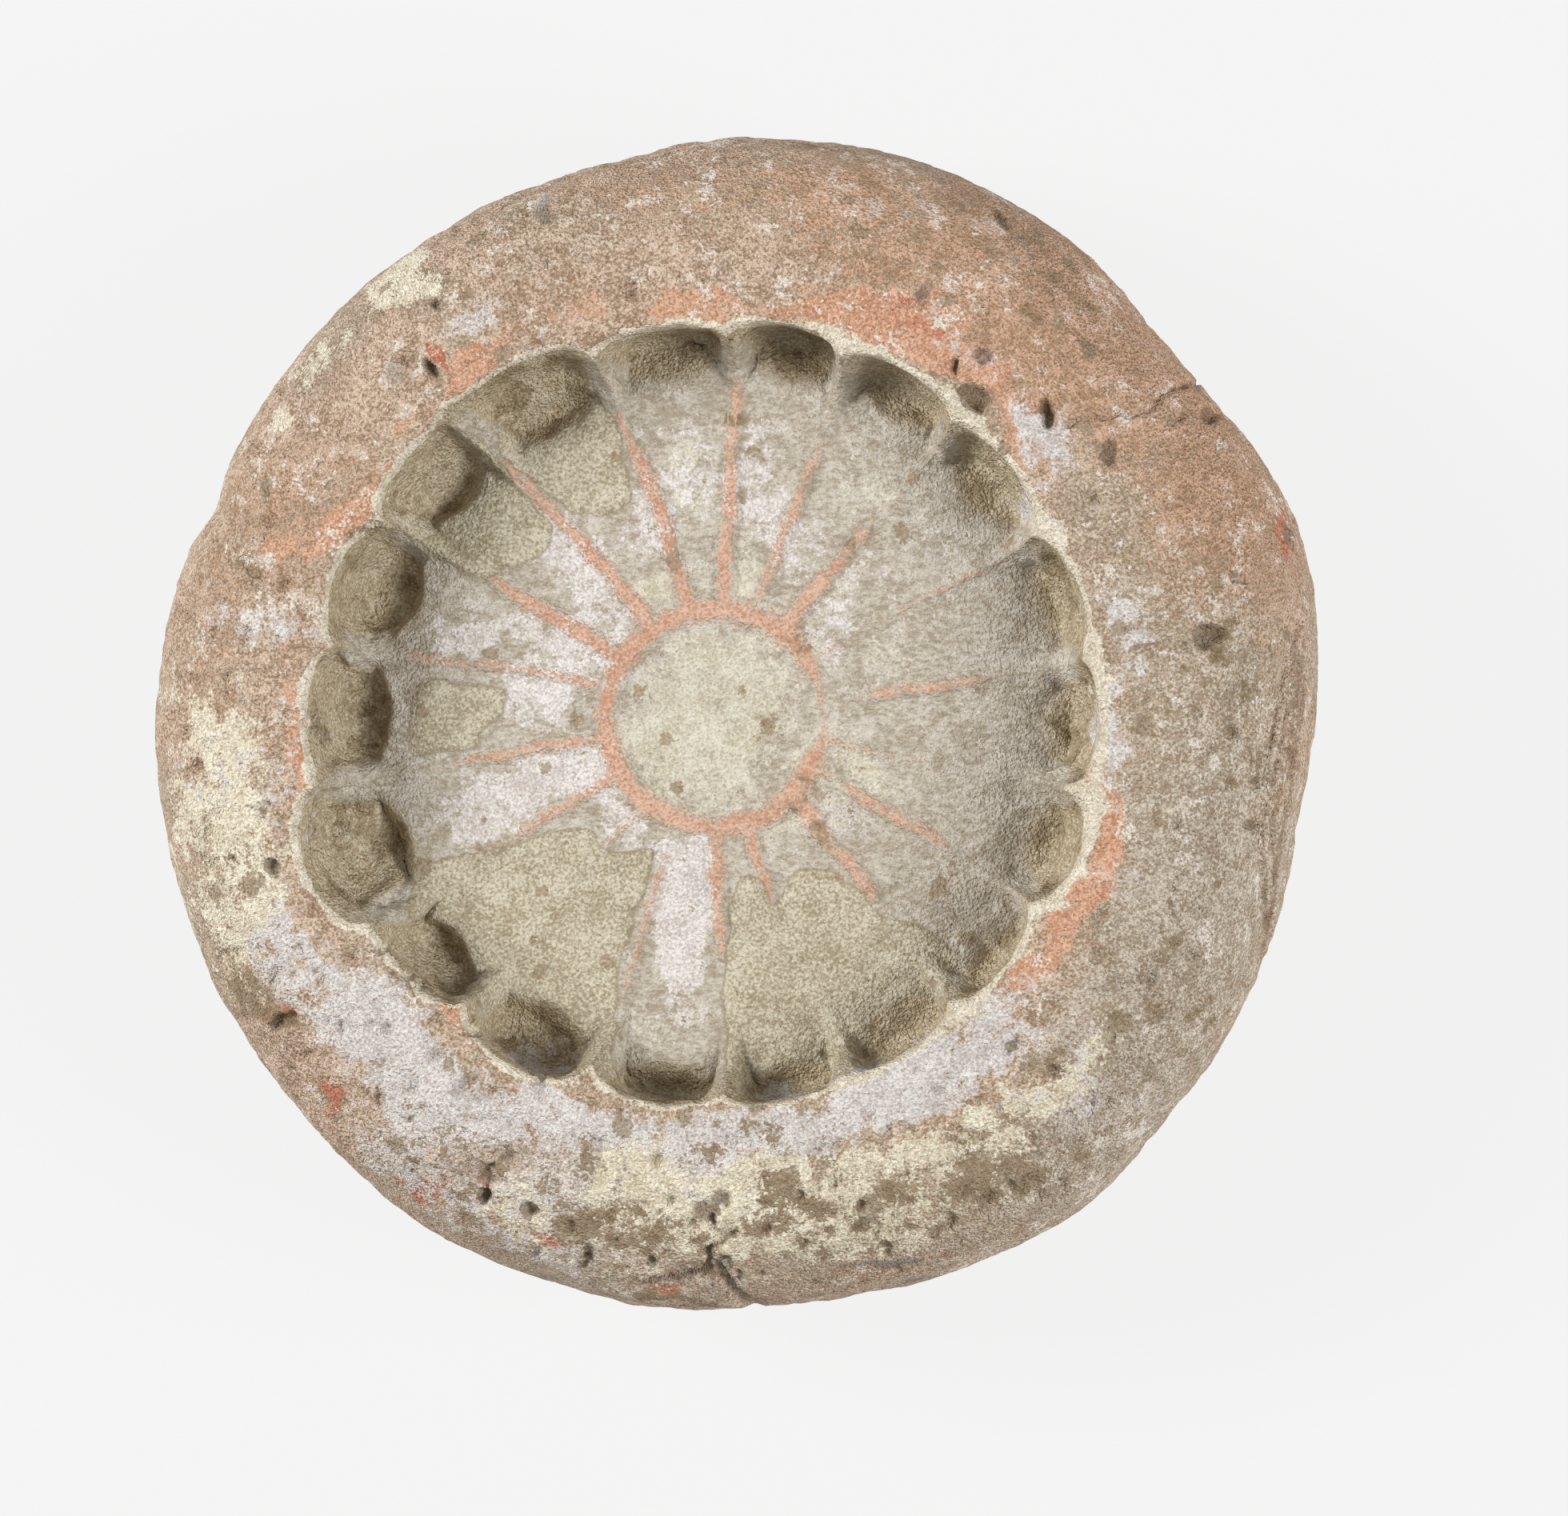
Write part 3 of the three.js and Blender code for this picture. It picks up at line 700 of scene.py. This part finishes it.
def fired_clay():
    """Low-fired clay, pressed by hand, under slip, salt and soil from long burial. The eye sees a dull, open,
    sandy surface, where each layer breaks up over the grain of the one below.
    """
    material = bpy.data.materials.new("fired_clay")
    material.use_nodes = True
    tree = material.node_tree
    shader = tree.nodes["Principled BSDF"]

    def node(kind, sockets, out=0, **settings):
        """Adds a node, sets or links its sockets, and returns one of its outputs."""
        made = tree.nodes.new("ShaderNode" + kind)
        for name, value in settings.items():
            setattr(made, name, value)
        for name, value in sockets.items():
            if isinstance(value, bpy.types.NodeSocket):
                tree.links.new(value, made.inputs[name])
            else:
                made.inputs[name].default_value = value
        return made.outputs[out]

    def summed(*parts, start=0.0):
        """The start and each part's value times its weight, added up."""
        total = start
        for value, weight in parts:
            total = node("Math", {0: value, 1: weight, 2: total}, operation="MULTIPLY_ADD")
        return total

    def laid(below, above, value, none, most, cover=1.0):
        """One colour over another: absent where the value is none, and at full cover where it is most."""
        sockets = {"Value": value, "From Min": none, "From Max": most, "To Max": cover}
        share = node("MapRange", sockets, interpolation_type="SMOOTHSTEP")
        return node("Mix", {0: share, 6: below, 7: above}, out=2, data_type="RGBA")

    place = node("TexCoord", {}, out=3)

    def grain(size, detail, roughness, stretch=(1, 1, 1)):
        """Three unlike noises with grains of this size in millimetres, and finer ones with more detail."""
        stretched = node("Mapping", {"Vector": place, "Scale": stretch})
        sockets = {"Vector": stretched, "Scale": 1 / (size * MM), "Detail": detail, "Roughness": roughness}
        apart = node("SeparateColor", {"Color": node("TexNoise", sockets, out=1)})
        return apart.node.outputs[:]

    # Silt grains are under 0.06 mm and wouldn't show, so the finest here are drawn three times as coarse. The
    # others are temper and sand, crumbled patches, and clouds of the firing. The print is streaked by wiping.
    fine = grain(0.17, 1.0, 0.6)
    middling = grain(0.8, 4.0, 0.7)
    coarse = grain(2.4, 5.0, 0.6)
    broad = grain(6.0, 2.0, 0.5)
    streaky = grain(0.24, 2.0, 0.7, stretch=(0.6, 1.1, 1))

    stored = [*COLOURS, "into_print", "rim_wear_and_highlight", "floor", "ridge", "crust", "pits", "ledge_shadow"]
    field = {name: node("Attribute", {}, out=2, attribute_name=name) for name in stored}

    def grains(dark, light, which, small=fine):
        """Dark and light grains of one clay."""
        mixture = summed((middling[(which + 1) % 3], 0.3), (coarse[which], 0.24), (small[which], 0.5))
        return laid(linear(dark), linear(light), mixture, 0.4, 0.64)

    def lumps(which):
        """The roughness that a layer breaks up over: grains and patches."""
        return summed((middling[which], 0.36), (fine[which], 0.2), (coarse[(which + 1) % 3], 0.44))

    def dust(which):
        """A finer roughness, for thin tints."""
        return summed((middling[which], 0.4), (fine[which], 0.6))

    def coat(below, above, thickness, roughness, reach=3.6, edge=0.14, cover=1.0):
        """A layer that covers where its thickness outdoes the roughness below it, with edges this soft."""
        stands = summed((thickness, 1.0), (roughness, reach), start=-0.5 * reach)
        return laid(below, above, stands, 0.5 - edge, 0.5 + edge, cover)

    clouds, stains = (
        node("MapRange", {"Value": value, "From Min": low, "From Max": high}, interpolation_type="SMOOTHSTEP")
        for value, low, high in ((broad[0], 0.42, 0.7), (coarse[0], 0.35, 0.75))
    )

    # The shoulder and the back: tan-brown clay in dark and light grains, which look sandy.
    colour = grains("#947960", "#d6c0ab", 0)
    colour = coat(colour, grains("#8f7c66", "#c9b7a1", 1), clouds, dust(2))
    # Warmer where the fire oxidised it, greyer where it didn't, and redder where its skin is worn off.
    colour = coat(colour, grains("#9c7b5c", "#d6b199", 2), field["terracotta"], dust(0))
    colour = coat(colour, grains("#958570", "#cfc3b3", 0), field["bloom"], dust(1), reach=2.4)
    colour = coat(colour, grains("#b78364", "#dab197", 1), field["pink"], lumps(2))
    colour = coat(colour, grains("#a06048", "#c98a70", 2), field["rust"], lumps(0))
    # A thin scatter of soil and of salt dulls it all over, and slip lies thicker in places.
    colour = coat(colour, grains("#77644f", "#98826b", 2), 0.12, dust(2))
    colour = coat(colour, grains("#cbbfb1", "#e6dfd5", 1), 0.22, lumps(1))
    shoulder = coat(colour, grains("#c2b59b", "#ebe3cd", 0), field["cream"], lumps(1))

    # The floor of the print is closed, wiped clay: grey to cream, streaked across.
    floor = grains("#9d917e", "#c6bfb2", 1, small=streaky)
    floor = coat(floor, grains("#b7ae9e", "#d4cfc4", 0), 0.3, lumps(2))
    floor = coat(floor, grains("#8f826c", "#b0a58f", 2), 0.15, lumps(1))
    floor = coat(floor, grains("#b4ab95", "#d3cebe", 2), field["cream"], lumps(0))
    # Its walls and pockets are torn and hold soil, so they look tan and darker.
    wall = coat(grains("#a08e70", "#cfc3ab", 0), grains("#7d6b50", "#ae9f82", 1), stains, lumps(1))
    inside = node("Mix", {0: field["floor"], 6: wall, 7: floor}, out=2, data_type="RGBA")
    colour = laid(shoulder, inside, field["into_print"], -0.05, 0.12)

    # White salt dried out of the pores in loose grains. The ridges' crests are rubbed down to warm clay.
    colour = coat(colour, grains("#b9afa8", "#dfdad5", 1), summed((field["salt"], 0.95)), lumps(2))
    ridge = summed((field["ridge"], 1.0), (dust(0), 2.4), start=-1.2)
    colour = laid(colour, grains("#b5866c", "#d2b09b", 2), ridge, -0.06, 0.06)
    # Crusts of dried slip are olive and even, with painted shade along their edges, and a pale line runs
    # round the rim, partly worn clay and partly a painted highlight.
    crust = summed((field["crust"], 1.0), (lumps(2), 0.9), start=-0.45)
    colour = laid(colour, grains("#988c72", "#ccc4b0", 1), crust, -0.04, 0.03)
    # Painted shade along each crust's edge, where it steps up from the floor.
    crust_edge_shade = node("Math", {0: crust}, operation="ABSOLUTE")
    colour = laid(colour, linear("#8a7c62"), crust_edge_shade, 0.16, 0.0, cover=0.55)
    # The pale rim line: worn clay with a painted highlight.
    colour = coat(colour, grains("#c4b79f", "#e9e0ce", 1), field["rim_wear_and_highlight"], lumps(0))
    # Brown soil holds in the pores, and in spots that crowd together where it is thick.
    colour = coat(colour, grains("#78654d", "#a08c73", 2), field["soil"], lumps(2), reach=4.2)
    spots = node("TexVoronoi", {"Vector": place, "Scale": 1 / (SPOT_SPACING * MM)})
    spots = summed((field["soil"], -0.28), (middling[0], 0.55), start=spots)
    colour = laid(colour, grains("#7d6b52", "#a5937a", 0), spots, 0.415, 0.375, cover=0.75)
    # A few soft grey stains. The pits are darkened brown, partly by soil in them and partly as painted shade,
    # and the hollows past the ledges get a brown painted shadow.
    colour = coat(colour, linear("#706d66"), field["smudge"], lumps(1), reach=3.0, edge=0.15, cover=0.6)
    colour = laid(colour, linear("#78654f"), field["pits"], 0.08, 0.4, cover=0.6)
    colour = laid(colour, grains("#74604e", "#a98e7b", 2), field["ledge_shadow"], 0.3, 1.0, cover=0.8)

    # Unglazed clay is dull and scarcely shines. Its grains stand out, less so on the wiped floor.
    tree.links.new(colour, shader.inputs["Base Color"])
    shader.inputs["Roughness"].default_value = 0.92
    shader.inputs["Specular IOR Level"].default_value = 0.2
    height = summed((coarse[2], 0.4), (fine[2], 0.6), (middling[1], 0.5))
    height = node("Math", {0: height, 1: summed((field["floor"], -0.35), start=1.0)}, operation="MULTIPLY")
    bump = node("Bump", {"Height": height, "Distance": GRAIN_HEIGHT * MM, "Strength": 1.0})
    tree.links.new(bump, shader.inputs["Normal"])
    return material


def pale_sheet():
    """A sheet of white plastic lit from behind, which looks even and white with only a faint shadow."""
    material = bpy.data.materials.new("pale_sheet")
    material.use_nodes = True
    shader = material.node_tree.nodes["Principled BSDF"]
    shader.inputs["Base Color"].default_value = linear("#404040")
    shader.inputs["Roughness"].default_value = 1.0
    shader.inputs["Specular IOR Level"].default_value = 0.0
    shader.inputs["Emission Color"].default_value = linear("#f3f3f3")
    shader.inputs["Emission Strength"].default_value = 0.935
    return material


def soft_box(name, azimuth, elevation, power):
    """A square soft light, aimed at the mould: azimuth in degrees from +X."""
    data = bpy.data.lights.new(name, "AREA")
    data.energy = power
    data.size = LIGHT_WIDTH
    light = bpy.data.objects.new(name, data)
    bpy.context.scene.collection.objects.link(light)
    turn = math.radians(azimuth)
    rise = math.radians(elevation)
    away = Vector((math.cos(turn) * math.cos(rise), math.sin(turn) * math.cos(rise), math.sin(rise)))
    light.location = away * LIGHT_DISTANCE
    light.rotation_euler = away.to_track_quat("Z", "Y").to_euler()


def even_light():
    """Soft light from all round."""
    world = bpy.data.worlds.new("studio")
    bpy.context.scene.world = world
    world.use_nodes = True
    background = world.node_tree.nodes["Background"]
    background.inputs["Color"].default_value = linear("#f3f3f3")
    background.inputs["Strength"].default_value = 0.36


def stand_camera(piece):
    """A long lens far above the piece, which looks down the line of sight."""
    points, _ = points_and_normals(piece)
    across = points[:, 0] * math.cos(LEAN) - points[:, 2] * math.sin(LEAN)
    sight = Vector((math.sin(LEAN), 0, math.cos(LEAN)))
    sideways = Vector((math.cos(LEAN), 0, -math.sin(LEAN)))
    aim = sideways * float((across.min() + across.max()) / 2 + FRAME_OFFSET[0]) * MM
    aim += sight * GIRTH_HEIGHT * MM
    aim.y = (float(points[:, 1].min() + points[:, 1].max()) / 2 + FRAME_OFFSET[1]) * MM
    lens = bpy.data.cameras.new("camera")
    lens.sensor_width = 36
    lens.lens = lens.sensor_width * CAMERA_DISTANCE / (FRAME_WIDTH * MM)
    camera = bpy.data.objects.new("camera", lens)
    bpy.context.scene.collection.objects.link(camera)
    camera.location = aim + sight * CAMERA_DISTANCE
    camera.rotation_euler = (0, LEAN, 0)
    bpy.context.scene.camera = camera


# The mould
mould = make_mould()
store(mould, surface_fields(mould))
mould.data.materials.append(fired_clay())
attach(mould, "root")
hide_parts(NODE)

# The floor
bpy.ops.object.select_all(action="DESELECT")
bpy.ops.mesh.primitive_plane_add(size=FLOOR_WIDTH, location=(0, 0, -FLOOR_GAP))
ground = bpy.context.object
ground.name = "ground"
ground.data.materials.append(pale_sheet())

# The light and the camera
soft_box("left_box", azimuth=165, elevation=38, power=8.0)
soft_box("right_box", azimuth=-8, elevation=37, power=6.2)
even_light()
bpy.context.scene.view_settings.view_transform = "Standard"
stand_camera(mould)
